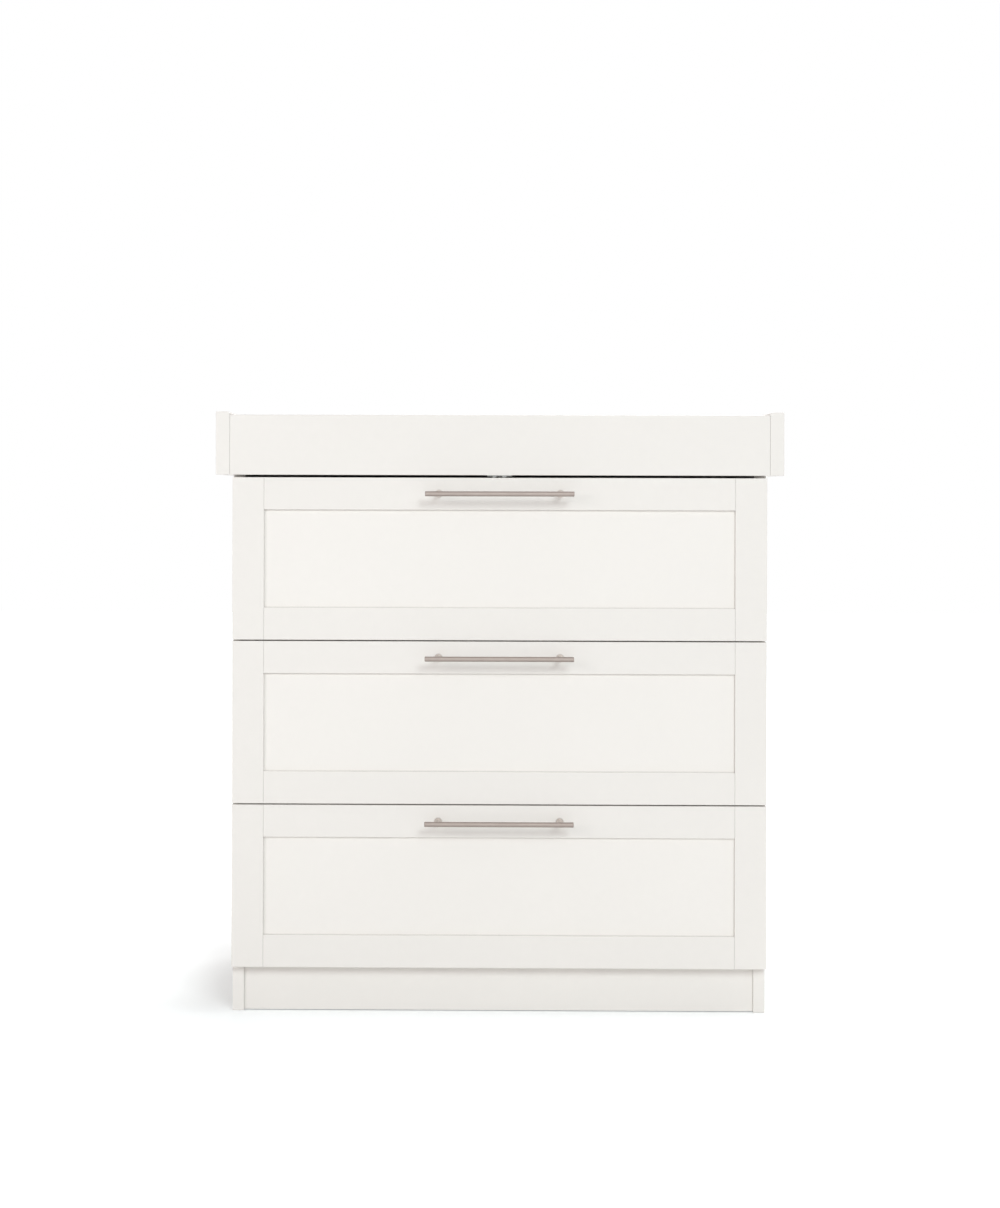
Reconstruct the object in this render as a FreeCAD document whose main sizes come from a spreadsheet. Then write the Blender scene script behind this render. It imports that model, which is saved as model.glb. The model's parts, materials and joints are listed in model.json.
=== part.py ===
"""Changing dresser: a three-drawer cabinet under a changer top, in millimetres.

X runs across the front, -Y is the front, Z is up. The origin is the middle of the footprint on the
floor. The left half is drawn and mirrored wherever the dresser is symmetric about X = 0.
"""

import FreeCAD, Part
import os
import re
import Sketcher
from FreeCAD import Placement, Rotation, Vector

DRAWERS = (1, 2, 3)  # 1 is the top drawer

# The many small fittings are drawn with few faces.
DOWEL_FLATS = 8
CAM_FLATS = 12
BOLT_FLATS = 6
SHANK_FLATS = 8

SAME = 1e-5  # coordinates closer than this are one place
LONG = 1  # an edge that spans more than this along an axis runs along it

# Driving dimensions.
SIZES = {
    # carcass
    "cabinet_width": 845,
    "cabinet_depth": 480,
    "board": 18,
    "plinth_top": 72,
    "plinth_setback": 4,
    "plinth_clearance": 1.5,
    "back_thickness": 3,
    "back_groove": 6,
    "front_rail_depth": 60,
    "rear_rail_height": 80,
    "wall_screw_hole": 5,
    "wall_screw_spacing": 600,
    # drawer fronts
    "front_lift": 1,
    "front_height": 257,
    "front_thickness": 18,
    "front_gap": 2,
    "front_standoff": 2,
    "stile_width": 50,
    "rail_height": 51,
    "panel_thickness": 6,
    "panel_recess": 5,
    "tongue": 8,
    "arris": 0.8,
    # changer top
    "top_gap": 4,
    "changer_board": 22,
    "changer_height": 100,
    "changer_step": 5,
    "changer_clearance": 4,
    "changer_proud": 5,
    "changer_round": 4,
    "floor_thickness": 9,
    "floor_groove": 7,
    "floor_tongue": 5,
    # handles
    "handle_spacing": 192,
    "handle_length": 234,
    "handle_diameter": 8,
    "handle_reach": 32,
    "handle_drop": 25.5,
    "handle_chamfer": 0.8,
    "post_diameter": 8.6,
    "rose_diameter": 12,
    "rose_thickness": 2,
    "handle_screw": 4,
    "handle_screw_grip": 12,
    "handle_screw_clearance": 0.3,
    "screw_head_diameter": 8,
    "screw_head_height": 2.4,
    # drawer boxes
    "box_board": 15,
    "box_height": 170,
    "box_lift": 24,
    "bottom_inset": 10,
    "bottom_thickness": 5,
    "bottom_groove": 6,
    "front_groove": 5,
    # telescopic runners
    "runner_length": 450,
    "runner_setback": 2,
    "runner_height": 45,
    "runner_space": 13,
    "runner_level": 50,
    "runner_sheet": 1.2,
    "runner_lip": 2.6,
    "runner_bend": 1.2,
    "ball_size": 3.8,
    "ball_clearance": 0.3,
    "cage_sheet": 0.4,
    "cage_length": 180,
    # fittings
    "dowel_diameter": 8,
    "dowel_length": 32,
    "dowel_seat": 10,
    "dowel_inset": 45,
    "cam_inset": 100,
    "cam_diameter": 15,
    "cam_depth": 12.5,
    "cam_distance": 24,
    "cam_slot": 2.5,
    "cam_bolt": 6,
    # plate that ties the changer's front board to the dresser's top panel
    "tie_width": 40,
    "tie_depth": 46,
    "tie_thickness": 1.5,
    "tie_screw": 3.5,
    "tie_screw_length": 14,
    "tie_head_diameter": 9.5,
    "tie_head_height": 1.7,
    "tie_screw_spacing": 16,
    "tie_screw_inset": 9,
}

# Levels and planes that follow from the driving dimensions.
LAYOUT = {
    "total_depth": "cabinet_depth + front_standoff + front_thickness + handle_reach + handle_diameter / 2",
    "rear": "total_depth / 2",
    "carcass_front": "rear - cabinet_depth",
    "front_rear": "carcass_front - front_standoff",
    "front_face": "front_rear - front_thickness",
    "changer_face": "front_face - changer_proud",
    "changer_inside": "changer_face + changer_board",
    "half_width": "cabinet_width / 2",
    "inner_half": "half_width - board",
    "changer_half": "half_width + changer_clearance",
    "back_face": "rear - board - back_thickness",
    "bottom_top": "plinth_top + board",
    "pitch": "front_height + front_gap",
    "base_3": "plinth_top + front_lift",
    "base_2": "base_3 + pitch",
    "base_1": "base_2 + pitch",
    "top_underside": "base_1 + front_height + top_gap",
    "cabinet_top": "top_underside + board",
    "changer_top": "top_underside + changer_height",
    "changer_rim": "changer_top - changer_step",
    "box_half": "inner_half - runner_space",
    "box_rear": "carcass_front + runner_setback + runner_length",
    "race_gap": "ball_size + 2 * ball_clearance",
    "middle_half": "runner_height / 2 - runner_sheet - race_gap",
    "drawer_half": "middle_half - runner_sheet - race_gap",
    "cage_gap": "cage_sheet + 2 * ball_clearance",
    "middle_web": "runner_sheet + cage_gap",
    "drawer_edge": "middle_web + runner_sheet + cage_gap + ball_clearance",
}

doc = FreeCAD.newDocument("changing_dresser")
home = {}
pieces = []


# ---- sheets and expressions ----

def cells(expression):
    """The expression with each size's name pointed at its cell."""
    return re.sub(r"[a-z]\w+", lambda word: f"{home[word[0]]}.{word[0]}", expression)


def fill_sheet(title, values):
    """Writes named values, or formulas of earlier names, down one sheet."""
    sheet = doc.addObject("Spreadsheet::Sheet", title)
    for row, (name, value) in enumerate(values.items(), start=1):
        sheet.set(f"A{row}", name)
        sheet.set(f"B{row}", "=" + cells(value) if isinstance(value, str) else str(value))
        sheet.setAlias(f"B{row}", name)
        home[name] = title
    doc.recompute()
    return sheet


fill_sheet("Sizes", SIZES)
layout = fill_sheet("Layout", LAYOUT)


def number(expression):
    return float(layout.evalExpression(cells(expression)))


def bind(thing, prop, expression):
    thing.setExpression(prop, cells(expression))


def place(thing, corner, turn=Rotation()):
    """Puts an object's own origin at a point given as three expressions."""
    thing.Placement = Placement(Vector(), turn)
    for axis, expression in zip("xyz", corner):
        bind(thing, f"Placement.Base.{axis}", expression)


def keep(thing, label):
    """Names a finished piece and lists it for export."""
    thing.Label = label
    pieces.append(thing)
    return thing


# ---- primitives and booleans ----

TURNS = {
    "x": Rotation(Vector(0, 1, 0), 90),
    "y": Rotation(Vector(1, 0, 0), -90),
    "z": Rotation(),
}


def block(name, size, corner):
    """A board from its width, depth and height and its lowest corner."""
    board = doc.addObject("Part::Box", name)
    for prop, expression in zip(("Length", "Width", "Height"), size):
        bind(board, prop, expression)
    place(board, corner)
    return board


def board_across(name, half, depth, height, front, level):
    """A board that lies across the dresser, centred on X = 0."""
    return block(name, (f"2 * ({half})", depth, height), (f"-({half})", front, level))


def rod(name, diameter, length, axis, start, flats=0):
    """A bar that runs from start along +x, +y or +z: round, or with a number of flats."""
    bar = doc.addObject("Part::Prism" if flats else "Part::Cylinder", name)
    if flats:
        bar.Polygon = flats
    bind(bar, "Circumradius" if flats else "Radius", f"({diameter}) / 2")
    bind(bar, "Height", length)
    place(bar, start, TURNS[axis])
    return bar


def group(name, members):
    """Separate solids side by side in one object."""
    compound = doc.addObject("Part::Compound", name)
    compound.Links = members
    return compound


def mirrored(name, source, normal=Vector(1, 0, 0)):
    """The source's twin across the plane through the origin, or one moved with Base."""
    twin = doc.addObject("Part::Mirroring", name)
    twin.Source = source
    twin.Normal = normal
    return twin


def both_sides(name, source):
    return group(name, [source, mirrored(f"{name}_right", source)])


def boolean(kind, name, base, tool):
    result = doc.addObject(kind, name)
    result.Base = base
    result.Tool = tool
    return result


def cut(name, base, tool):
    return boolean("Part::Cut", name, base, tool)


def fuse(name, base, tool):
    return boolean("Part::Fuse", name, base, tool)


# ---- sketched bodies ----

def new_body(name, corner):
    body = doc.addObject("PartDesign::Body", name)
    place(body, corner)
    return body


def outline(body, name, role, points):
    """A closed sketch of straight edges whose corners are bound to expressions."""
    sketch = body.newObject("Sketcher::SketchObject", name)
    plane = next(feature for feature in body.Origin.OriginFeatures if feature.Role == role)
    sketch.AttachmentSupport = (plane, "")
    sketch.MapMode = "FlatFace"
    corners = [Vector(number(across), number(up), 0) for across, up in points]
    for start, end in zip(corners, corners[1:] + corners[:1]):
        sketch.addGeometry(Part.LineSegment(start, end))
    for index, point in enumerate(points):
        following = (index + 1) % len(points)
        sketch.addConstraint(Sketcher.Constraint("Coincident", index, 2, following, 1))
        for kind, axis, expression in zip(("DistanceX", "DistanceY"), (-2, -1), point):
            if expression == "0":
                sketch.addConstraint(Sketcher.Constraint("PointOnObject", index, 1, axis))
            else:
                size = Sketcher.Constraint(kind, -1, 1, index, 1, number(expression))
                bind(sketch, f"Constraints[{sketch.addConstraint(size)}]", expression)
    return sketch


def pad(body, sketch, length, centred=False, reverse=False):
    feature = body.newObject("PartDesign::Pad", f"{sketch.Name}_pad")
    feature.Profile = sketch
    feature.SideType = "Symmetric" if centred else "One side"
    feature.Reversed = reverse
    bind(feature, "Length", length)
    return feature


def revolve(body, sketch, axis):
    feature = body.newObject("PartDesign::Revolution", f"{sketch.Name}_turned")
    feature.Profile = sketch
    feature.ReferenceAxis = (sketch, [axis])
    feature.Angle = 360
    return feature


def soften(body, radius, chosen):
    """Rounds the edges of the body's last feature that chosen(edge box, body box) picks."""
    doc.recompute()
    base = body.Tip
    whole = base.Shape.BoundBox
    names = [
        f"Edge{index}"
        for index, edge in enumerate(base.Shape.Edges, start=1)
        if chosen(edge.BoundBox, whole)
    ]
    fillet = body.newObject("PartDesign::Fillet", f"{body.Name}_round")
    fillet.Base = (base, names)
    bind(fillet, "Radius", radius)
    return fillet


def near(first, second):
    return abs(first - second) < SAME


def on_front(edge, whole):
    return near(edge.YMax, whole.YMin)


def along_top(edge, whole):
    return near(edge.ZMin, whole.ZMax) and edge.XLength > LONG


# ---- fittings: they are also the tools that cut their own seats ----

def cam_fitting(name, front, underside):
    """A cam lock let into a board's underside, and its bolt into the side panel."""
    reach = "cam_distance - cam_diameter / 4"
    centre = "cam_distance - inner_half"
    disc = rod(f"{name}_disc", "cam_diameter", "cam_depth", "z", (centre, front, underside), CAM_FLATS)
    bolt = rod(
        f"{name}_bolt", "cam_bolt", f"dowel_seat + {reach}", "x",
        ("-inner_half - dowel_seat", front, f"{underside} + board / 2"), BOLT_FLATS,
    )
    slot = block(
        f"{name}_slot", ("cam_diameter / 2", "cam_slot", "cam_slot"),
        (f"{centre} - cam_diameter / 4", f"{front} - cam_slot / 2", underside),
    )
    return disc, bolt, cut(f"{name}_lock", disc, group(f"{name}_hollows", [slot, bolt]))


def make_fittings():
    """Dowels and cam locks; returns the two groups, and the bores that hold them."""
    front_line = "carcass_front + dowel_inset"
    rear_line = "rear - dowel_inset"
    mid_board = "board / 2"
    upper_rail = "base_1 - front_gap / 2 - board / 2"
    lower_rail = "base_2 - front_gap / 2 - board / 2"
    rail_middle = "carcass_front + front_rail_depth / 2"
    changer_front_line = "changer_face + changer_board / 2"
    changer_rear_line = "rear - changer_board / 2"
    dowel_places = [
        ("inner_half", front_line, f"plinth_top + {mid_board}"),
        ("inner_half", rear_line, f"plinth_top + {mid_board}"),
        ("inner_half", front_line, f"top_underside + {mid_board}"),
        ("inner_half", rear_line, f"top_underside + {mid_board}"),
        ("inner_half", f"{rail_middle} + cam_diameter", f"{upper_rail} + {mid_board}"),
        ("inner_half", f"{rail_middle} + cam_diameter", f"{lower_rail} + {mid_board}"),
        ("inner_half", f"rear - {mid_board}", "top_underside - rear_rail_height / 2"),
        ("inner_half", f"carcass_front + plinth_setback + {mid_board}", "plinth_top / 2"),
        ("changer_half", changer_front_line, "top_underside + dowel_seat"),
        ("changer_half", changer_front_line, "changer_rim - 2 * dowel_seat"),
        ("changer_half", changer_rear_line, "changer_rim - 2 * dowel_seat"),
    ]
    left_dowels = []
    for index, (joint, depth, level) in enumerate(dowel_places, start=1):
        start = (f"-{joint} - dowel_seat", depth, level)
        left_dowels.append(rod(f"dowel_{index}", "dowel_diameter", "dowel_length", "x", start, DOWEL_FLATS))
    cam_places = [
        ("carcass_front + cam_inset", "plinth_top"),
        ("rear - cam_inset", "plinth_top"),
        ("carcass_front + cam_inset", "top_underside"),
        ("rear - cam_inset", "top_underside"),
        (f"{rail_middle} - dowel_diameter", upper_rail),
        (f"{rail_middle} - dowel_diameter", lower_rail),
    ]
    discs, bolts, locks = zip(*[
        cam_fitting(f"cam_{index}", front, underside)
        for index, (front, underside) in enumerate(cam_places, start=1)
    ])
    left_bores = group("left_bores", [*left_dowels, *discs, *bolts])
    keep(both_sides("dowels", group("left_dowels", left_dowels)), "dowels")
    keep(both_sides("cam_fittings", group("left_cams", [*locks, *bolts])), "cam_fittings")
    return both_sides("fitting_bores", left_bores)


def make_tie_plate():
    """A flat plate under the changer's front board and the top panel, on four screws."""
    plate_level = "top_underside - tie_thickness"
    plate_front = "changer_face + tie_screw_inset / 2"
    plate = board_across("tie_blank", "tie_width / 2", "tie_depth", "tie_thickness", plate_front, plate_level)
    rows = (f"{plate_front} + tie_screw_inset", f"{plate_front} + tie_depth - tie_screw_inset")
    heads = []
    shanks = []
    for row, depth in enumerate(rows, start=1):
        for side, sign in (("left", "-"), ("right", "")):
            across = f"{sign}tie_screw_spacing / 2"
            heads.append(rod(
                f"tie_head_{row}_{side}", "tie_head_diameter", "tie_head_height", "z",
                (across, depth, f"{plate_level} - tie_head_height"),
            ))
            shanks.append(rod(
                f"tie_shank_{row}_{side}", "tie_screw", "tie_screw_length", "z",
                (across, depth, plate_level), SHANK_FLATS,
            ))
    shank_group = group("tie_shanks", shanks)
    screws = [
        fuse(f"tie_screw_{index}", head, shank)
        for index, (head, shank) in enumerate(zip(heads, shanks), start=1)
    ]
    keep(group("tie_plate", [cut("tie_flat", plate, shank_group), *screws]), "tie_plate")
    return shank_group


# ---- carcass ----

def make_carcass(bores):
    """Boards round the drawers; returns the top panel's blank and the seats cut in the boards."""
    back = board_across(
        "back_blank", "inner_half + back_groove", "back_thickness",
        "top_underside - bottom_top + 2 * back_groove", "back_face", "bottom_top - back_groove",
    )
    wall_left = rod(
        "wall_hole_left", "wall_screw_hole", "board + back_thickness", "y",
        ("-wall_screw_spacing / 2", "back_face", "top_underside - rear_rail_height / 2"),
    )
    wall_holes = both_sides("wall_holes", wall_left)
    keep(cut("back_panel", back, wall_holes), "back_panel")

    side = block(
        "side_blank", ("board", "cabinet_depth", "cabinet_top"), ("-half_width", "carcass_front", "0"),
    )
    seats = group("carcass_seats", [bores, back])
    side_left = keep(cut("side_panel_left", side, seats), "side_panel_left")
    keep(mirrored("side_panel_right", side_left), "side_panel_right")

    top = board_across(
        "top_blank", "inner_half", "cabinet_depth", "board", "carcass_front", "top_underside",
    )
    bottom = board_across(
        "bottom_blank", "inner_half", "cabinet_depth", "board", "carcass_front", "plinth_top",
    )
    keep(cut("bottom_panel", bottom, seats), "bottom_panel")

    rear_rail = board_across(
        "rear_rail_blank", "inner_half", "board", "rear_rail_height",
        "rear - board", "top_underside - rear_rail_height",
    )
    keep(cut("rear_rail", rear_rail, group("rear_rail_holes", [bores, wall_holes])), "rear_rail")

    plinth = board_across(
        "plinth_blank", "inner_half", "board", "plinth_top - plinth_clearance",
        "carcass_front + plinth_setback", "plinth_clearance",
    )
    keep(cut("plinth_board", plinth, bores), "plinth_board")

    for title, base in (("upper", "base_1"), ("lower", "base_2")):
        rail = board_across(
            f"front_rail_{title}_blank", "inner_half", "front_rail_depth", "board",
            "carcass_front", f"{base} - front_gap / 2 - board / 2",
        )
        keep(cut(f"front_rail_{title}", rail, bores), f"front_rail_{title}")
    return top, seats


# ---- changer top ----

def make_cross_board(name, front, level, holds):
    """A board between the changer's side boards, from a level up to the rim."""
    board = new_body(f"{name}_body", ("0", front, level))
    height = f"changer_rim - {level}"
    section = outline(board, f"{name}_section", "YZ_Plane", [
        ("0", "0"), ("changer_board", "0"), ("changer_board", height), ("0", height),
    ])
    pad(board, section, "2 * changer_half", centred=True)
    soften(board, "changer_round / 2", along_top)
    keep(cut(name, board, holds), name)


def make_changer(bores, tie_shanks, top, seats):
    """Four boards on the dresser; a tongue round the floor's lower edge lies in their grooves."""
    well_depth = "(rear - changer_board - changer_inside)"
    core = block(
        "floor_core", ("2 * changer_half", well_depth, "floor_thickness"),
        ("-changer_half", "changer_inside", "cabinet_top"),
    )
    tongue = block(
        "floor_tongue_blank",
        ("2 * (changer_half + floor_groove)", f"{well_depth} + 2 * floor_groove", "floor_tongue"),
        ("-(changer_half + floor_groove)", "changer_inside - floor_groove", "cabinet_top"),
    )
    floor = keep(fuse("changer_floor", core, tongue), "changer_floor")
    holds = group("changer_seats", [bores, floor, tie_shanks])

    side = new_body("changer_side", ("-changer_half - changer_board", "changer_face", "top_underside"))
    section = outline(side, "changer_side_section", "XZ_Plane", [
        ("0", "0"), ("changer_board", "0"), ("changer_board", "changer_height"), ("0", "changer_height"),
    ])
    pad(side, section, "rear - changer_face", reverse=True)
    soften(side, "changer_round",
           lambda edge, whole: near(edge.XMin, whole.XMax) and near(edge.ZMin, whole.ZMax))
    soften(side, "arris",
           lambda edge, whole: near(edge.YMax, whole.YMin) and near(edge.XMax, whole.XMin))
    side_left = keep(cut("changer_side_left", side, holds), "changer_side_left")
    keep(mirrored("changer_side_right", side_left), "changer_side_right")

    make_cross_board("changer_front", "changer_face", "top_underside", holds)
    make_cross_board("changer_back", "rear - changer_board", "cabinet_top", holds)
    keep(cut("top_panel", top, group("top_seats", [seats, tie_shanks])), "top_panel")


# ---- drawers ----

def make_front(drawer, base, bottom):
    """A frame of two stiles and two rails, grooved round a flat panel."""
    groove_back = "panel_recess + panel_thickness"
    stile = new_body(f"stile_{drawer}", ("-half_width", "front_face", base))
    section = outline(stile, f"stile_section_{drawer}", "XY_Plane", [
        ("0", "0"), ("stile_width", "0"), ("stile_width", "panel_recess"),
        ("stile_width - tongue", "panel_recess"), ("stile_width - tongue", groove_back),
        ("stile_width", groove_back), ("stile_width", "front_thickness"), ("0", "front_thickness"),
    ])
    pad(stile, section, "front_height")
    soften(stile, "arris", on_front)
    stile_left = keep(cut(f"drawer_{drawer}_stile_left", stile, bottom), f"drawer_{drawer}_stile_left")
    keep(mirrored(f"drawer_{drawer}_stile_right", stile_left), f"drawer_{drawer}_stile_right")

    rail = new_body(f"rail_{drawer}", ("0", "front_face", base))
    section = outline(rail, f"rail_section_{drawer}", "YZ_Plane", [
        ("0", "0"), ("front_thickness", "0"), ("front_thickness", "rail_height"),
        (groove_back, "rail_height"), (groove_back, "rail_height - tongue"),
        ("panel_recess", "rail_height - tongue"), ("panel_recess", "rail_height"), ("0", "rail_height"),
    ])
    pad(rail, section, "cabinet_width - 2 * stile_width", centred=True)
    soften(rail, "arris", on_front)
    tongue = outline(rail, f"rail_tongue_{drawer}", "YZ_Plane", [
        ("panel_recess", "0"), (groove_back, "0"), (groove_back, "rail_height - tongue"),
        ("panel_recess", "rail_height - tongue"),
    ])
    pad(rail, tongue, "cabinet_width - 2 * stile_width + 2 * tongue", centred=True)
    keep(cut(f"drawer_{drawer}_rail_bottom", rail, bottom), f"drawer_{drawer}_rail_bottom")
    top_rail = mirrored(f"rail_top_{drawer}", rail, Vector(0, 0, 1))
    bind(top_rail, "Base.z", f"{base} + front_height / 2")

    panel = board_across(
        f"drawer_{drawer}_panel", "half_width - stile_width + tongue", "panel_thickness",
        "front_height - 2 * rail_height + 2 * tongue",
        "front_face + panel_recess", f"{base} + rail_height - tongue",
    )
    keep(panel, f"drawer_{drawer}_panel")
    return top_rail


def make_handle(drawer, base, top_rail):
    """A round bar on two posts, each held by a screw through the top rail."""
    level = f"{base} + front_height - handle_drop"
    bar = new_body(f"bar_{drawer}", ("0", "front_face - handle_reach", level))
    half, radius, ease = "handle_length / 2", "handle_diameter / 2", "handle_chamfer"
    section = outline(bar, f"bar_section_{drawer}", "XY_Plane", [
        (f"-{half}", "0"), (half, "0"), (half, f"{radius} - {ease}"), (f"{half} - {ease}", radius),
        (f"{ease} - {half}", radius), (f"-{half}", f"{radius} - {ease}"),
    ])
    revolve(bar, section, "H_Axis")
    keep(bar, f"drawer_{drawer}_handle_bar")

    hole = rod(
        f"handle_hole_{drawer}", "handle_screw + 2 * handle_screw_clearance", "front_thickness", "y",
        ("-handle_spacing / 2", "front_face", level),
    )
    rail = cut(f"drawer_{drawer}_rail_top", top_rail, both_sides(f"handle_holes_{drawer}", hole))
    keep(rail, f"drawer_{drawer}_rail_top")

    left = "-handle_spacing / 2"
    head = rod(
        f"screw_head_{drawer}", "screw_head_diameter", "screw_head_height", "y",
        (left, "front_rear", level),
    )
    shank = rod(
        f"screw_shank_{drawer}", "handle_screw", "handle_screw_grip + front_thickness", "y",
        (left, "front_face - handle_screw_grip", level), SHANK_FLATS,
    )
    screws = both_sides(f"drawer_{drawer}_handle_screws", fuse(f"screw_{drawer}", head, shank))
    keep(screws, f"drawer_{drawer}_handle_screws")

    post = new_body(f"post_{drawer}", (left, "front_face", level))
    section = outline(post, f"post_section_{drawer}", "XY_Plane", [
        ("0", "0"), ("0", "-handle_reach"), ("post_diameter / 2", "-handle_reach"),
        ("post_diameter / 2", "-rose_thickness"), ("rose_diameter / 2", "-rose_thickness"),
        ("rose_diameter / 2", "0"),
    ])
    revolve(post, section, "V_Axis")
    seated = cut(f"post_seat_{drawer}", post, group(f"post_holes_{drawer}", [bar, shank]))
    keep(both_sides(f"drawer_{drawer}_handle_posts", seated), f"drawer_{drawer}_handle_posts")


def make_box(drawer, base):
    """Sides, back and bottom behind the front; the bottom slides in grooves."""
    box_base = f"{base} + box_lift"
    bottom_level = f"{box_base} + bottom_inset"
    bottom = board_across(
        f"drawer_{drawer}_box_bottom", "box_half - box_board + bottom_groove",
        "box_rear - front_rear + front_groove", "bottom_thickness",
        "front_rear - front_groove", bottom_level,
    )
    keep(bottom, f"drawer_{drawer}_box_bottom")
    side = block(
        f"box_side_blank_{drawer}", ("box_board", "box_rear - front_rear", "box_height"),
        ("-box_half", "front_rear", box_base),
    )
    side_left = cut(f"drawer_{drawer}_box_side_left", side, bottom)
    keep(side_left, f"drawer_{drawer}_box_side_left")
    keep(mirrored(f"drawer_{drawer}_box_side_right", side_left), f"drawer_{drawer}_box_side_right")
    back = board_across(
        f"drawer_{drawer}_box_back", "box_half - box_board", "box_board",
        "box_height - bottom_inset - bottom_thickness",
        "box_rear - box_board", f"{bottom_level} + bottom_thickness",
    )
    keep(back, f"drawer_{drawer}_box_back")
    return bottom


# ---- runners: three rolled channels nested in each other, with ball cages between ----

def channel(name, corner, web, edge, half, sheet, lip, length):
    """A C-shaped channel along Y. Its web is at web, its mouth at edge, its height 2 * half."""
    body = new_body(name, corner)
    inward = "1" if number(edge) > number(web) else "-1"
    inner_web = f"{web} + {inward} * {sheet}"
    flange = f"{half} - {sheet}"
    upper = [(web, half), (edge, half)]
    if lip:
        lip_back = f"{edge} - {inward} * {sheet}"
        upper += [(edge, f"{half} - {lip}"), (lip_back, f"{half} - {lip}"), (lip_back, flange)]
    else:
        upper += [(edge, flange)]
    upper += [(inner_web, flange)]
    lower = [(across, f"-({up})") for across, up in reversed(upper)]
    section = outline(body, f"{name}_section", "XZ_Plane", upper + lower)
    pad(body, section, length, reverse=True)
    return body


def bend(member, web):
    """Rounds the two bends between a member's web and its flanges, as rolling leaves them."""
    web_face = number(web)
    soften(member, "runner_bend", lambda edge, whole: edge.YLength > LONG and near(edge.XMin, web_face)
           and near(edge.XMax, web_face) and near(abs(edge.ZMin), whole.ZMax))


def make_runner(drawer, base):
    level = f"{base} + box_lift + runner_level"
    start = ("-inner_half", "carcass_front + runner_setback", level)
    cage_start = (start[0], f"{start[1]} + (runner_length - cage_length) / 2", level)
    fixed = channel(
        f"cabinet_member_{drawer}", start, "0", "runner_space - 2 * runner_sheet", "runner_height / 2",
        "runner_sheet", "runner_lip", "runner_length",
    )
    middle = channel(
        f"middle_member_{drawer}", start, "middle_web", "runner_space - runner_sheet - cage_sheet",
        "middle_half", "runner_sheet", "runner_lip", "runner_length",
    )
    moving = channel(
        f"drawer_member_{drawer}", start, "runner_space", "drawer_edge", "drawer_half",
        "runner_sheet", "runner_lip", "runner_length",
    )
    outer_cage = channel(
        f"outer_cage_{drawer}", cage_start, "runner_sheet + ball_clearance",
        "runner_space - 4 * runner_sheet", "middle_half + race_gap / 2 + cage_sheet / 2",
        "cage_sheet", None, "cage_length",
    )
    inner_cage = channel(
        f"inner_cage_{drawer}", cage_start, "middle_web + runner_sheet + ball_clearance",
        "runner_space - 3 * runner_sheet", "drawer_half + race_gap / 2 + cage_sheet / 2",
        "cage_sheet", None, "cage_length",
    )
    for member, web in ((fixed, "0"), (middle, "middle_web"), (moving, "runner_space")):
        bend(member, web)
    middle_parts = group(f"middle_parts_{drawer}", [middle, outer_cage, inner_cage])
    for stage, members in (("drawer", moving), ("middle", middle_parts)):
        label = f"drawer_{drawer}_runner_{stage}_members"
        keep(both_sides(label, members), label)
    return fixed


bores = make_fittings()
tie_shanks = make_tie_plate()
top, seats = make_carcass(bores)
make_changer(bores, tie_shanks, top, seats)
cabinet_members = []
for drawer in DRAWERS:
    base = f"base_{drawer}"
    bottom = make_box(drawer, base)
    top_rail = make_front(drawer, base, bottom)
    make_handle(drawer, base, top_rail)
    cabinet_members.append(make_runner(drawer, base))
left_members = group("left_cabinet_members", cabinet_members)
keep(both_sides("runner_cabinet_members", left_members), "runner_cabinet_members")
doc.recompute()

# ---- checks and export ----

for thing in doc.Objects:
    if "Invalid" in thing.State or "Error" in thing.State:
        raise RuntimeError(f"{thing.Name} failed: {thing.State}")
for piece in pieces:
    if piece.Shape.isNull() or not piece.Shape.isValid():
        raise RuntimeError(f"{piece.Label} has no valid shape")

os.makedirs("parts", exist_ok=True)
for piece in pieces:
    piece.Shape.exportStep(f"parts/{piece.Label}.step")
print(len(pieces), "pieces")
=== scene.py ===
"""Looks of the changing dresser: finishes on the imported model, small fittings, studio and camera.

Metres throughout. +Z is up, the drawer fronts face -Y, and X = 0 is the dresser's middle.
"""

import json
import math
import random

import bmesh
import bpy
from mathutils import Matrix, Vector


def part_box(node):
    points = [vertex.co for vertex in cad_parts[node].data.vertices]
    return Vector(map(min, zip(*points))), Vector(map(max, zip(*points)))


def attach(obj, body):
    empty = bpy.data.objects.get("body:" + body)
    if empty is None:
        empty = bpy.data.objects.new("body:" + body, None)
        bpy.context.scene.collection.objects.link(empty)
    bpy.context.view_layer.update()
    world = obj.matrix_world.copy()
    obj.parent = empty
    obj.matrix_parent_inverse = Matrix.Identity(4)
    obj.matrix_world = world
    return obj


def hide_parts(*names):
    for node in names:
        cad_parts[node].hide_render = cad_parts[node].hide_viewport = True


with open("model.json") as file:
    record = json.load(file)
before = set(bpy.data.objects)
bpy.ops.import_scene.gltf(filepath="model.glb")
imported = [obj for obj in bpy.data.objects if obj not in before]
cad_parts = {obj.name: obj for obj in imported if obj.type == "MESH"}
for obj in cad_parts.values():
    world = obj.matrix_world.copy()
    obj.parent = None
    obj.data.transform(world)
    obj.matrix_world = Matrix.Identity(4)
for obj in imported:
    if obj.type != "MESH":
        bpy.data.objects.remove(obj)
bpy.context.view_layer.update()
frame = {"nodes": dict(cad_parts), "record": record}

random.seed(7)

MM = 0.001
DRAWERS = (1, 2, 3)
SIDES = (-1, 1)

# Camera, as worked out from the straight edges in the photograph. Angles in radians, lens and sensor in mm.
CAMERA_PLACE = Vector((-0.030, -3.806, 0.820))
CAMERA_YAW = 0.01164
CAMERA_ROLL = 0.00245
CAMERA_LENS = 67.4
CAMERA_SENSOR = 36
CAMERA_SHIFT = (0.0379, -0.0899)

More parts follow.
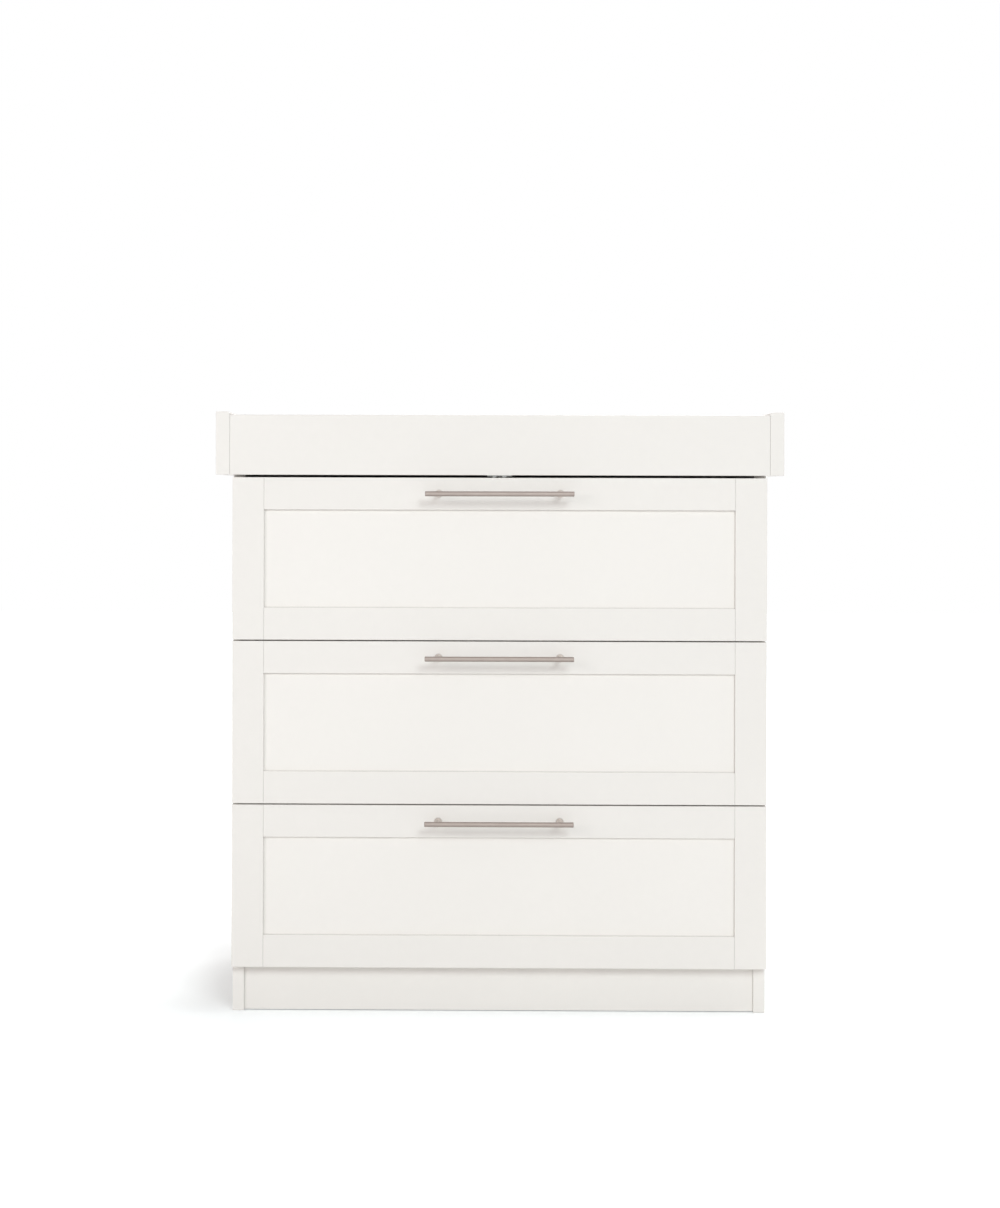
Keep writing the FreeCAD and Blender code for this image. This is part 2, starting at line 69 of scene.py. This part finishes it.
# Colours, as sRGB parts of one.
PAINT = (0.962, 0.947, 0.929)
BOARD_WHITE = (0.945, 0.942, 0.930)
BOARD_EDGE = (0.930, 0.925, 0.910)
RAW_HARDBOARD = (0.52, 0.37, 0.24)
WARM_NICKEL = (0.645, 0.60, 0.575)
LIT_POST_NICKEL = (0.80, 0.765, 0.74)  # the posts are smoother than the bars, and brighter as painted light, for the light on their tops
ZINC_PLATE = (0.76, 0.77, 0.79)
ZINC_ALLOY = (0.66, 0.66, 0.65)
BEECH = (0.80, 0.65, 0.46)
STEEL_BALL = (0.84, 0.84, 0.85)
BLACK_PLASTIC = (0.07, 0.07, 0.075)
FRAME_TONE = 0.985  # stiles, rails and carcass are a shade darker than the panels
CREVICE_SHADE_TONE = 0.82  # painted shade deep in a joint, groove or inner corner

# Studio. Each lamp: azimuth to the right of the front and elevation in degrees, distance, width and height in
# metres, watts, colour.
LIGHT_AIM = Vector((0, -0.2, 0.5))
LAMPS = {
    "key": (18, 27, 12.0, 4.0, 3.6, 446, (0.90, 0.985, 1.0)),
    "fill": (-42, 14, 5.0, 1.6, 2.0, 45, (1.0, 0.97, 0.96)),
    "side": (92, 50, 5.0, 2.4, 2.4, 30, (1.0, 1.0, 1.0)),
    "back": (170, 45, 5.0, 3.0, 3.0, 110, (1.0, 1.0, 1.0)),
}
DOME = 0.47
DOME_COLOUR = (1.0, 0.97, 0.962, 1)
FLOOR_HALF = 12.0
FLOOR_GREY = (0.93, 0.93, 0.93)
# Glow of the seen floor, which lifts it to white: least beside the dresser's footprint, where it leaves a
# painted shadow, then a quick and a slow rise away from it.
PAINTED_SHADOW_SHIFT = (0.02, 0.035)  # to the left and to the rear, where the painted shadow is deepest
GLOW_START = 0.17
GLOW_NEAR = (0.015, 0.10, 0.15)  # the two distances that it rises between, and by how much
GLOW_FAR = (0.10, 1.2, 0.6)
# Slightly blue, so that the floor in the dresser's shade stays grey under the warm dome light.
GLOW_COLOUR = (0.93, 1.0, 1.02, 1)

# Telescopic runners. Ball rows: height from the runner's middle level, and distance from the cabinet's side.
BALL_ROWS = ((19.1 * MM, 5.4 * MM), (13.5 * MM, 6.9 * MM))
BALL_RADIUS = 1.9 * MM
BALL_SEGMENTS = 14
BALL_RINGS = 9
BALLS_IN_ROW = 9
BALL_PITCH = 19 * MM
RUNNER_SHEET = 1.2 * MM

# Release levers, drawn from the front end to the rear. Shares are of the lever's length.
LEVER_LENGTH = 62 * MM
LEVER_MIDDLE = -25 * MM  # along Y; it shows just ahead of the middle member when the drawer is out
LEVER_THICKNESS = 2.4 * MM
LEVER_GAP = 0.1 * MM  # from the drawer member's web
LEVER_HALF = 2.0 * MM  # half its height
LEVER_BOW = 2.6 * MM
LEVER_EYE = (3.0 * MM, 0.14, 0.12)  # what it adds to half the height, where along the lever, and its reach
LEVER_TAPERS = (6, 8)  # the front end fills out over a sixth of the length, the rear end over an eighth
LEVER_TIP = 0.02  # how far the very ends are filled out
LEVER_STEPS = 24

# Screws. The head's profile and cross recess are in shares of the head's radius and height.
SCREW_SIDES = 32
HEAD_PROFILE = ((1, 0), (1, 0.35), (0.92, 0.72), (0.66, 1))
CROSS_ARM = 0.46
CROSS_HALF = 0.12  # half an arm's width
CROSS_SOLE = (0.7, 0.3)  # the recess narrows to the first by its sole, which lies at the second
HANDLE_SCREW_SHANK = 2 * MM
RUNNER_SCREW = (3.4 * MM, 1.7 * MM, 1.7 * MM)  # radius and height of the head, radius of the shank
RUNNER_SCREW_STEPS = (35 * MM, 225 * MM, 415 * MM)  # from the runner's front end

# Shader ranges: of most of a noise, of a rounded normal against the flat one, and of how open a point is.
NOISE_SPREAD = (0.3, 0.7)
EDGE_SPREAD = (0.80, 0.995)
OPEN_SPREAD = (0.30, 0.95)
EDGE_SAMPLES = 4
# Painted shade in joints, grooves and inner corners: samples and reach of the openness it is read from.
CREVICE_SHADE_SAMPLES = 6
CREVICE_SHADE_REACH = 2.0 * MM
SPANGLES = 260  # per metre

SHARP_ANGLE = math.radians(35)

# Boards whose square edges are eased. Facets that meet at less than the flat angle are joined first, and then
# edges sharper than the eased angle are rounded.
EASED_BOARDS = ("changer_front", "changer_back", "changer_side_left", "changer_side_right")
EASED_EDGE = 0.8 * MM
EASED_ANGLE = math.radians(50)
EASED_SEGMENTS = 2
FLAT_ANGLE = math.radians(0.5)
WELD_REACH = 0.01 * MM


# ---- node helpers ----

def shade(colour, factor):
    """An sRGB colour made darker or lighter by the factor."""
    return tuple(min(1, c * factor) for c in colour)


def linear(colour, factor=1):
    """The shaded sRGB colour as the linear RGBA that a socket takes."""
    parts = shade(colour, factor)
    return (*[c / 12.92 if c <= 0.04045 else ((c + 0.055) / 1.055) ** 2.4 for c in parts], 1)


class Nodes:
    """Adds linked shader nodes to one material."""

    def __init__(self, name):
        self.material = bpy.data.materials.new(name)
        self.material.use_nodes = True
        self.tree = self.material.node_tree
        self.tree.nodes.clear()
        self.output = self.tree.nodes.new("ShaderNodeOutputMaterial")

    def add(self, kind, inputs=None, **settings):
        node = self.tree.nodes.new(f"ShaderNode{kind}")
        for name, value in settings.items():
            setattr(node, name, value)
        for name, value in (inputs or {}).items():
            self.feed(node.inputs[name], value)
        return node

    def feed(self, socket, value):
        if isinstance(value, bpy.types.NodeSocket):
            self.tree.links.new(value, socket)
        else:
            socket.default_value = value

    def place(self, stretch=(1, 1, 1)):
        """Object coordinates in metres, stretched along each axis."""
        coordinates = self.add("TexCoord").outputs["Object"]
        return self.add("Mapping", {"Vector": coordinates, "Scale": stretch}).outputs["Vector"]

    def noise(self, size, detail=3, stretch=(1, 1, 1), roughness=0.5):
        """Noise whose lumps are about size metres wide, from 0 to 1."""
        inputs = {"Vector": self.place(stretch), "Scale": 1 / size, "Detail": detail, "Roughness": roughness}
        return self.add("TexNoise", inputs).outputs["Fac"]

    def span(self, value, low, high, source=NOISE_SPREAD):
        """The value spread from its source range to low and high."""
        inputs = {"Value": value, "From Min": source[0], "From Max": source[1], "To Min": low, "To Max": high}
        return self.add("MapRange", inputs).outputs["Result"]

    def math(self, operation, first, second):
        node = self.add("Math", operation=operation)
        self.feed(node.inputs[0], first)
        self.feed(node.inputs[1], second)
        return node.outputs[0]

    def vector(self, operation, first, second=None):
        """The vector that comes of the operation, or the length as a number."""
        node = self.add("VectorMath", operation=operation)
        self.feed(node.inputs[0], first)
        if second is not None:
            self.feed(node.inputs[1], second)
        return node.outputs["Value" if operation in ("LENGTH", "DOT_PRODUCT") else "Vector"]

    def mix(self, share, first, second):
        node = self.add("Mix", data_type="RGBA")
        self.feed(node.inputs["Factor"], share)
        self.feed(node.inputs["A"], first)
        self.feed(node.inputs["B"], second)
        return node.outputs["Result"]

    def edges(self, radius):
        """Near 1 within radius of an edge, and 0 on flats."""
        rounded = self.add("Bevel", {"Radius": radius}, samples=EDGE_SAMPLES).outputs["Normal"]
        flat = self.add("NewGeometry").outputs["Normal"]
        return self.span(self.vector("DOT_PRODUCT", rounded, flat), 1, 0, source=EDGE_SPREAD)

    def toned_edges(self, tone, radius, share, colour):
        """The tone with its edges brought nearer to the colour by the share."""
        return self.mix(self.math("MULTIPLY", self.edges(radius), share), tone, colour)

    def crevice_shade(self, reach):
        """Near 1 deep in a joint, groove or inner corner, and 0 in the open: the mask for painted shade."""
        open_share = self.add("AmbientOcclusion", {"Distance": reach}, samples=CREVICE_SHADE_SAMPLES).outputs["AO"]
        return self.span(open_share, 1, 0, source=OPEN_SPREAD)

    def bump(self, height, distance, strength, normal=None):
        """The normal of a surface raised by the height, where a height of 1 stands for distance metres."""
        inputs = {"Height": height, "Distance": distance, "Strength": strength}
        if normal:
            inputs["Normal"] = normal
        return self.add("Bump", inputs).outputs["Normal"]

    def surface(self, colour, roughness, normal=None, **constants):
        """The finished surface; constants are set on the shader's own sockets."""
        shader = self.add("BsdfPrincipled")
        self.feed(shader.inputs["Base Color"], colour)
        self.feed(shader.inputs["Roughness"], roughness)
        if normal:
            self.feed(shader.inputs["Normal"], normal)
        for name, value in constants.items():
            shader.inputs[name].default_value = value
        self.tree.links.new(shader.outputs["BSDF"], self.output.inputs["Surface"])
        return self.material


# ---- materials ----

def satin_paint(name, tone):
    """Sprayed satin paint: a faint orange-peel, slow drifts of tone, thin arrises a shade darker, and painted
    shade in joints and inner corners.
    """
    n = Nodes(name)
    paint = shade(PAINT, tone)
    drift = n.mix(n.span(n.noise(0.35, detail=2), 0, 1), linear(paint, 0.996), linear(paint, 1.003))
    mottle = n.mix(n.span(n.noise(0.012, detail=4), 0, 0.35), drift, linear(paint, 0.990))
    # Arrises a shade darker, more in some patches than in others.
    edge_toned = n.toned_edges(mottle, 0.7 * MM, n.span(n.noise(0.004, detail=4), 0.15, 0.55), linear(paint, 0.95))
    # Painted shade: the paint is darkened where little open space is near, in joints, grooves and inner
    # corners.
    colour = n.mix(n.crevice_shade(CREVICE_SHADE_REACH), edge_toned, linear(paint, CREVICE_SHADE_TONE))
    roughness = n.span(n.noise(0.02, detail=4), 0.36, 0.46)
    peel = n.bump(n.noise(1.6 * MM, detail=2), 0.03 * MM, 0.5)
    waviness = n.bump(n.noise(0.03, detail=2), 0.1 * MM, 0.3, normal=peel)
    return n.surface(colour, roughness, waviness, IOR=1.48)


def drawer_board():
    """White melamine-faced board: a fine pearl texture, and a banded edge a shade darker."""
    n = Nodes("drawer_board")
    speckle = n.span(n.noise(0.9 * MM, detail=4), 0, 1)
    face = n.mix(speckle, linear(BOARD_WHITE, 0.985), linear(BOARD_WHITE))
    colour = n.toned_edges(face, 0.6 * MM, 0.5, linear(BOARD_EDGE, 0.9))
    roughness = n.span(n.noise(0.006), 0.42, 0.55)
    return n.surface(colour, roughness, n.bump(n.noise(0.7 * MM), 0.04 * MM, 0.6))


def thin_board():
    """Hardboard: lacquered white on the inside, raw fibres on the face to the rear or below."""
    n = Nodes("thin_board")
    fibres = n.noise(1.2 * MM, detail=6, stretch=(1, 1, 0.35), roughness=0.7)
    flecks = n.noise(6 * MM, detail=4)
    raw = n.mix(n.span(fibres, 0, 1), linear(RAW_HARDBOARD, 0.82), linear(RAW_HARDBOARD, 1.12))
    raw = n.mix(n.span(flecks, 0, 0.35), raw, linear(RAW_HARDBOARD, 0.68))
    white = n.mix(n.span(n.noise(0.003, detail=4), 0, 1), linear(BOARD_WHITE, 0.965), linear(BOARD_WHITE))
    outward = n.add("SeparateXYZ", {"Vector": n.add("TexCoord").outputs["Normal"]})
    rear = n.span(outward.outputs["Y"], 0, 1, source=(0.5, 0.6))
    below = n.span(outward.outputs["Z"], 1, 0, source=(-0.6, -0.5))
    colour = n.mix(n.math("MAXIMUM", rear, below), white, raw)
    return n.surface(colour, n.span(fibres, 0.55, 0.8), n.bump(fibres, 0.08 * MM, 0.5))


def brushed(name, colour, roughness):
    """Metal with fine brush marks along X; each mark is a long thin streak."""
    n = Nodes(name)
    streaks = n.noise(0.25 * MM, detail=4, stretch=(0.02, 1, 1), roughness=0.65)
    patches = n.noise(0.02)
    tone = n.mix(n.span(streaks, 0, 1), linear(colour, 0.93), linear(colour, 1.04))
    tone = n.mix(n.span(patches, 0, 0.4), tone, linear(colour, 0.95))
    tone = n.toned_edges(tone, 0.4 * MM, 0.5, linear(colour, 1.12))
    rough = n.math("MULTIPLY", n.span(streaks, *roughness), n.span(patches, 1, 1.1))
    return n.surface(tone, rough, n.bump(streaks, 0.012 * MM, 0.6), Metallic=1.0)


def zinc_plate():
    """Bright zinc plate on rolled steel: faint spangle, rolling lines along the member."""
    n = Nodes("runner_steel")
    rolling = n.noise(0.6 * MM, detail=4, stretch=(1, 0.02, 1))
    spangle = n.add("TexVoronoi", {"Vector": n.place(), "Scale": SPANGLES}).outputs["Distance"]
    tone = n.mix(n.span(rolling, 0, 1), linear(ZINC_PLATE, 0.9), linear(ZINC_PLATE, 1.04))
    tone = n.mix(n.span(spangle, 0, 0.25, source=(0.1, 0.8)), tone, linear(ZINC_PLATE, 0.84))
    tone = n.toned_edges(tone, 0.5 * MM, 0.5, linear(ZINC_PLATE, 1.12))
    rough = n.span(n.noise(0.01, detail=4), 0.26, 0.42)
    return n.surface(tone, rough, n.bump(rolling, 0.01 * MM, 0.5), Metallic=1.0)


def small_metal(name, colour, roughness):
    """Die-cast, plated or hardened small metal, slightly grainy."""
    n = Nodes(name)
    grain = n.noise(0.5 * MM, detail=4)
    tone = n.mix(n.span(grain, 0, 1), linear(colour, 0.9), linear(colour, 1.06))
    tone = n.toned_edges(tone, 0.3 * MM, 0.6, linear(colour, 1.15))
    rough = n.span(n.noise(2 * MM), *roughness)
    return n.surface(tone, rough, n.bump(grain, 0.01 * MM, 0.5), Metallic=1.0)


def beech_wood():
    """Bare beech: long grain along X, with short dark rays."""
    n = Nodes("beech")
    grain = n.noise(1.5 * MM, detail=5, stretch=(0.06, 1, 1))
    rays = n.noise(0.6 * MM, stretch=(0.2, 1, 1))
    tone = n.mix(n.span(grain, 0, 1), linear(BEECH, 0.86), linear(BEECH, 1.05))
    tone = n.mix(n.span(rays, 0, 0.4, source=(0.5, 0.7)), tone, linear(BEECH, 0.7))
    return n.surface(tone, n.span(rays, 0.5, 0.65), n.bump(grain, 0.04 * MM, 0.5))


def moulded_plastic(name, colour):
    """Plastic with the fine grain of its mould."""
    n = Nodes(name)
    grain = n.noise(0.8 * MM)
    tone = n.mix(n.span(grain, 0, 1), linear(colour, 0.93), linear(colour, 1.04))
    tone = n.toned_edges(tone, 0.3 * MM, 0.4, linear(colour, 1.2))
    return n.surface(tone, n.span(n.noise(3 * MM), 0.38, 0.5), n.bump(grain, 0.01 * MM, 0.5))


FINISHES = {
    "satin_paint": satin_paint("satin_paint", FRAME_TONE),
    "drawer_board": drawer_board(),
    "thin_board": thin_board(),
    "handle_metal": brushed("handle_metal", WARM_NICKEL, (0.48, 0.60)),
    "runner_steel": zinc_plate(),
    "zinc_fittings": small_metal("zinc_fittings", ZINC_ALLOY, (0.34, 0.50)),
    "beech": beech_wood(),
}
PANEL_PAINT = satin_paint("satin_paint_panel", 1.0)
LIT_POST_METAL = brushed("turned_metal_painted_light", LIT_POST_NICKEL, (0.34, 0.44))
BALL_STEEL = small_metal("ball_steel", STEEL_BALL, (0.08, 0.16))
LEVER_PLASTIC = moulded_plastic("black_plastic", BLACK_PLASTIC)


def finish_cad_nodes():
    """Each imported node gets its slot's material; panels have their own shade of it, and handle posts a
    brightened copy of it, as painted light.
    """
    own = {f"drawer_{drawer}_panel": PANEL_PAINT for drawer in DRAWERS}
    own |= {f"drawer_{drawer}_handle_posts": LIT_POST_METAL for drawer in DRAWERS}
    for part in frame["record"]["subparts"]:
        node = frame["nodes"][part["node"]]
        node.data.materials.clear()
        node.data.materials.append(own.get(part["node"], FINISHES[part["material_slot"]]))
    for name in EASED_BOARDS:
        ease(frame["nodes"][name])


def ease(board):
    """Rounds a board's edges a little, so that the joints with its neighbours show as fine grooves."""
    weld = board.modifiers.new("join_facets", "WELD")
    weld.merge_threshold = WELD_REACH
    dissolve = board.modifiers.new("whole_faces", "DECIMATE")
    dissolve.decimate_type = "DISSOLVE"
    dissolve.angle_limit = FLAT_ANGLE
    bevel = board.modifiers.new("eased_edges", "BEVEL")
    bevel.width = EASED_EDGE
    bevel.segments = EASED_SEGMENTS
    bevel.limit_method = "ANGLE"
    bevel.angle_limit = EASED_ANGLE
    bevel.use_clamp_overlap = False
    bevel.harden_normals = True


# ---- mesh helpers ----

def new_mesh(name, shape):
    """The edited shape as a smooth mesh with its sharp edges kept."""
    bmesh.ops.recalc_face_normals(shape, faces=shape.faces)
    mesh = bpy.data.meshes.new(name)
    shape.to_mesh(mesh)
    shape.free()
    mesh.shade_smooth()
    mesh.set_sharp_from_angle(angle=SHARP_ANGLE)
    return mesh


def copies(name, template, places):
    """One mesh with a copy of the template at each place."""
    shape = bmesh.new()
    for place in places:
        copy = template.copy()
        copy.transform(place)
        shape.from_mesh(copy)
        bpy.data.meshes.remove(copy)
    return new_mesh(name, shape)


def add_piece(name, mesh, material, body):
    piece = bpy.data.objects.new(name, mesh)
    bpy.context.scene.collection.objects.link(piece)
    mesh.materials.append(material)
    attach(piece, body)
    return piece


# ---- screws ----

def pan_head_screw(head, height, shank, length):
    """A screw along Z with its head's seat at zero: head and shank are radii. The top has a cross recess."""
    shape = bmesh.new()
    profile = [(shank, -length), (shank, 0)] + [(out * head, up * height) for out, up in HEAD_PROFILE]
    turns = [math.tau * i / SCREW_SIDES for i in range(SCREW_SIDES)]
    rings = [[shape.verts.new((radius * math.cos(t), radius * math.sin(t), level)) for t in turns]
             for radius, level in profile]
    shape.faces.new(rings[0])
    for lower, upper in zip(rings, rings[1:]):
        for i in range(SCREW_SIDES):
            after = (i + 1) % SCREW_SIDES
            shape.faces.new((lower[i], lower[after], upper[after], upper[i]))
    arm, half = CROSS_ARM * head, CROSS_HALF * head
    corners = [(arm, -half), (arm, half), (half, half),
               (half, arm), (-half, arm), (-half, half),
               (-arm, half), (-arm, -half), (-half, -half),
               (-half, -arm), (half, -arm), (half, -half)]
    narrowing, sole_height = CROSS_SOLE
    rim = [shape.verts.new((x, y, height)) for x, y in corners]
    sole = [shape.verts.new((narrowing * x, narrowing * y, sole_height * height)) for x, y in corners]
    loop = [shape.edges.new((rim[i - 1], rim[i])) for i in range(len(rim))]
    for i in range(len(rim)):
        shape.faces.new((rim[i - 1], rim[i], sole[i], sole[i - 1]))
    shape.faces.new(sole)
    outside = [shape.edges.get((rings[-1][i - 1], rings[-1][i])) for i in range(SCREW_SIDES)]
    bmesh.ops.triangle_fill(shape, edges=loop + outside, use_beauty=True)
    return new_mesh("pan_head_screw", shape)


def facing(place, turn):
    """A place whose local Z points along the turned axis, with a random twist so that recesses differ."""
    return Matrix.Translation(place) @ turn @ Matrix.Rotation(random.uniform(0, math.pi / 2), 4, "Z")


def make_handle_screws(drawer):
    """Handle screws with recessed heads, in place of the plain ones on the rear of the drawer front."""
    node = f"drawer_{drawer}_handle_screws"
    low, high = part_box(node)
    head = (high.z - low.z) / 2
    level = (high.z + low.z) / 2
    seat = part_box(f"drawer_{drawer}_rail_top")[1].y
    screw = pan_head_screw(head, high.y - seat, HANDLE_SCREW_SHANK, seat - low.y)
    towards_rear = Matrix.Rotation(-math.pi / 2, 4, "X")
    places = [facing((side * (high.x - head), seat, level), towards_rear) for side in SIDES]
    mesh = copies(f"drawer_{drawer}_recessed_screws", screw, places)
    piece = add_piece(mesh.name, mesh, FINISHES["zinc_fittings"], f"drawer_{drawer}")
    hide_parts(node)


# ---- runner details ----

def runner_frame(drawer):
    """Of the drawer members: the front end, the middle level, and the outer face of the right one's web."""
    low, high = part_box(f"drawer_{drawer}_runner_drawer_members")
    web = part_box(f"drawer_{drawer}_box_side_right")[1].x + RUNNER_SHEET
    return low.y, (low.z + high.z) / 2, web


def make_balls(drawer):
    """Balls in both cages of both runners; the cages ride with the middle members."""
    low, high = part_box(f"drawer_{drawer}_runner_middle_members")
    middle = (low.y + high.y) / 2
    level = runner_frame(drawer)[1]
    cabinet_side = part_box("side_panel_right")[0].x
    shape = bmesh.new()
    bmesh.ops.create_uvsphere(shape, u_segments=BALL_SEGMENTS, v_segments=BALL_RINGS, radius=BALL_RADIUS)
    ball = new_mesh("ball", shape)
    steps = [middle + (i - (BALLS_IN_ROW - 1) / 2) * BALL_PITCH for i in range(BALLS_IN_ROW)]
    places = [Matrix.Translation((side * (cabinet_side - inset), along, level + up * rise))
              for side in SIDES for rise, inset in BALL_ROWS for up in SIDES for along in steps]
    mesh = copies(f"runner_{drawer}_balls", ball, places)
    add_piece(mesh.name, mesh, BALL_STEEL, f"runner_{drawer}")


def make_runner_screws(drawer):
    """Pan-head screws that hold the drawer members to the box sides."""
    front, level, web = runner_frame(drawer)
    screw = pan_head_screw(*RUNNER_SCREW, RUNNER_SHEET)
    places = [facing((side * web, front + step, level), Matrix.Rotation(side * math.pi / 2, 4, "Y"))
              for side in SIDES for step in RUNNER_SCREW_STEPS]
    mesh = copies(f"drawer_{drawer}_runner_screws", screw, places)
    add_piece(mesh.name, mesh, FINISHES["zinc_fittings"], f"drawer_{drawer}")


def make_release_levers(drawer):
    """Curved plastic levers in the drawer members, which let the drawer be lifted out."""
    _, level, web = runner_frame(drawer)
    inner_face = web + LEVER_GAP
    outer_face = inner_face + LEVER_THICKNESS
    eye_half, eye_place, eye_reach = LEVER_EYE
    front_taper, rear_taper = LEVER_TAPERS
    shape = bmesh.new()
    for side in SIDES:
        upper, lower = [], []
        for i in range(LEVER_STEPS + 1):
            share = i / LEVER_STEPS
            along = LEVER_MIDDLE + (share - 0.5) * LEVER_LENGTH
            bow = side * LEVER_BOW * math.sin(math.tau * share)
            eye = eye_half * math.exp(-((share - eye_place) / eye_reach) ** 2)
            front_fill = min(1, max(LEVER_TIP, share * front_taper))
            rear_fill = min(1, (1 - share) * rear_taper + LEVER_TIP)
            half = (LEVER_HALF + eye) * math.sin(math.pi * front_fill / 2) * math.sin(math.pi * rear_fill / 2)
            upper.append((along, level + bow + half))
            lower.append((along, level + bow - half))
        outline = upper + lower[::-1]
        near = [shape.verts.new((side * inner_face, y, z)) for y, z in outline]
        far = [shape.verts.new((side * outer_face, y, z)) for y, z in outline]
        shape.faces.new(near)
        shape.faces.new(far)
        for i in range(len(outline)):
            shape.faces.new((near[i - 1], near[i], far[i], far[i - 1]))
    mesh = new_mesh(f"drawer_{drawer}_release_levers", shape)
    add_piece(mesh.name, mesh, LEVER_PLASTIC, f"drawer_{drawer}")


# ---- studio ----

def seen_rays(tree):
    """A socket that is 1 for rays from the camera, straight, mirrored or through glass, and otherwise 0."""
    rays = tree.nodes.new("ShaderNodeLightPath")
    seen = rays.outputs["Is Camera Ray"]
    for kind in ("Is Glossy Ray", "Is Transmission Ray"):
        either = tree.nodes.new("ShaderNodeMath")
        either.operation = "MAXIMUM"
        tree.links.new(seen, either.inputs[0])
        tree.links.new(rays.outputs[kind], either.inputs[1])
        seen = either.outputs[0]
    return seen


def floor_material():
    """Pale matt floor. Where it is seen, a glow lifts it to white; it is least beside the dresser, as a
    painted shadow.
    """
    low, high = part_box("side_panel_left")
    n = Nodes("studio_floor")
    speck = n.mix(n.span(n.noise(0.02, detail=4), 0, 1), linear(FLOOR_GREY), linear(FLOOR_GREY, 1.01))
    diffuse = n.add("BsdfDiffuse", {"Color": speck})
    # Painted shadow: the glow is least at the footprint, moved a little to the left and rear, and rises with
    # the distance from it.
    leftward, rearward = PAINTED_SHADOW_SHIFT
    middle = (-leftward, (low.y + high.y) / 2 + rearward, 0)
    half = (-low.x, (high.y - low.y) / 2 - rearward, 1)
    offset = n.vector("ABSOLUTE", n.vector("SUBTRACT", n.place(), middle))
    outside = n.vector("MAXIMUM", n.vector("SUBTRACT", offset, half), (0, 0, 0))
    away = n.vector("LENGTH", outside)
    near = n.span(away, GLOW_START, GLOW_START + GLOW_NEAR[2], source=GLOW_NEAR[:2])
    far = n.span(away, 0, GLOW_FAR[2], source=GLOW_FAR[:2])
    strength = n.math("MULTIPLY", seen_rays(n.tree), n.math("ADD", near, far))
    glow = n.add("Emission", {"Color": GLOW_COLOUR, "Strength": strength})
    both = n.add("AddShader")
    n.feed(both.inputs[0], diffuse.outputs[0])
    n.feed(both.inputs[1], glow.outputs[0])
    n.tree.links.new(both.outputs[0], n.output.inputs["Surface"])
    return n.material


def make_floor():
    mesh = bpy.data.meshes.new("studio_floor")
    corners = [(x * FLOOR_HALF, y * FLOOR_HALF, 0) for x, y in ((-1, -1), (1, -1), (1, 1), (-1, 1))]
    mesh.from_pydata(corners, [], [(0, 1, 2, 3)])
    floor = bpy.data.objects.new("studio_floor", mesh)
    bpy.context.scene.collection.objects.link(floor)
    mesh.materials.append(floor_material())


def make_world():
    """White where it is seen, straight or mirrored, and a soft dome as light."""
    world = bpy.data.worlds.new("studio")
    bpy.context.scene.world = world
    world.use_nodes = True
    tree = world.node_tree
    tree.nodes.clear()
    choose = tree.nodes.new("ShaderNodeMixShader")
    tree.links.new(seen_rays(tree), choose.inputs["Fac"])
    for socket, colour, strength in ((1, DOME_COLOUR, DOME), (2, (1, 1, 1, 1), 1)):
        background = tree.nodes.new("ShaderNodeBackground")
        background.inputs["Color"].default_value = colour
        background.inputs["Strength"].default_value = strength
        tree.links.new(background.outputs[0], choose.inputs[socket])
    output = tree.nodes.new("ShaderNodeOutputWorld")
    tree.links.new(choose.outputs[0], output.inputs["Surface"])


def make_lamps():
    for name, (azimuth, elevation, distance, width, height, watts, colour) in LAMPS.items():
        light = bpy.data.lights.new(name, "AREA")
        light.shape = "RECTANGLE"
        light.size = width
        light.size_y = height
        light.energy = watts
        light.color = colour
        lamp = bpy.data.objects.new(name, light)
        bpy.context.scene.collection.objects.link(lamp)
        around, up = math.radians(azimuth), math.radians(elevation)
        towards = Vector((math.sin(around) * math.cos(up), -math.cos(around) * math.cos(up), math.sin(up)))
        lamp.location = LIGHT_AIM + towards * distance
        lamp.rotation_euler = towards.to_track_quat("Z", "Y").to_euler()
        lamp.visible_camera = False


def make_camera():
    data = bpy.data.cameras.new("camera")
    data.lens = CAMERA_LENS
    data.sensor_width = CAMERA_SENSOR
    data.shift_x, data.shift_y = CAMERA_SHIFT
    camera = bpy.data.objects.new("camera", data)
    bpy.context.scene.collection.objects.link(camera)
    upright = Matrix.Rotation(math.pi / 2, 4, "X") @ Matrix.Rotation(CAMERA_ROLL, 4, "Z")
    camera.matrix_world = Matrix.Translation(CAMERA_PLACE) @ Matrix.Rotation(CAMERA_YAW, 4, "Z") @ upright
    bpy.context.scene.camera = camera


bpy.context.scene.view_settings.view_transform = "Standard"
finish_cad_nodes()
for drawer in DRAWERS:
    make_handle_screws(drawer)
    make_balls(drawer)
    make_runner_screws(drawer)
    make_release_levers(drawer)
make_floor()
make_world()
make_lamps()
make_camera()
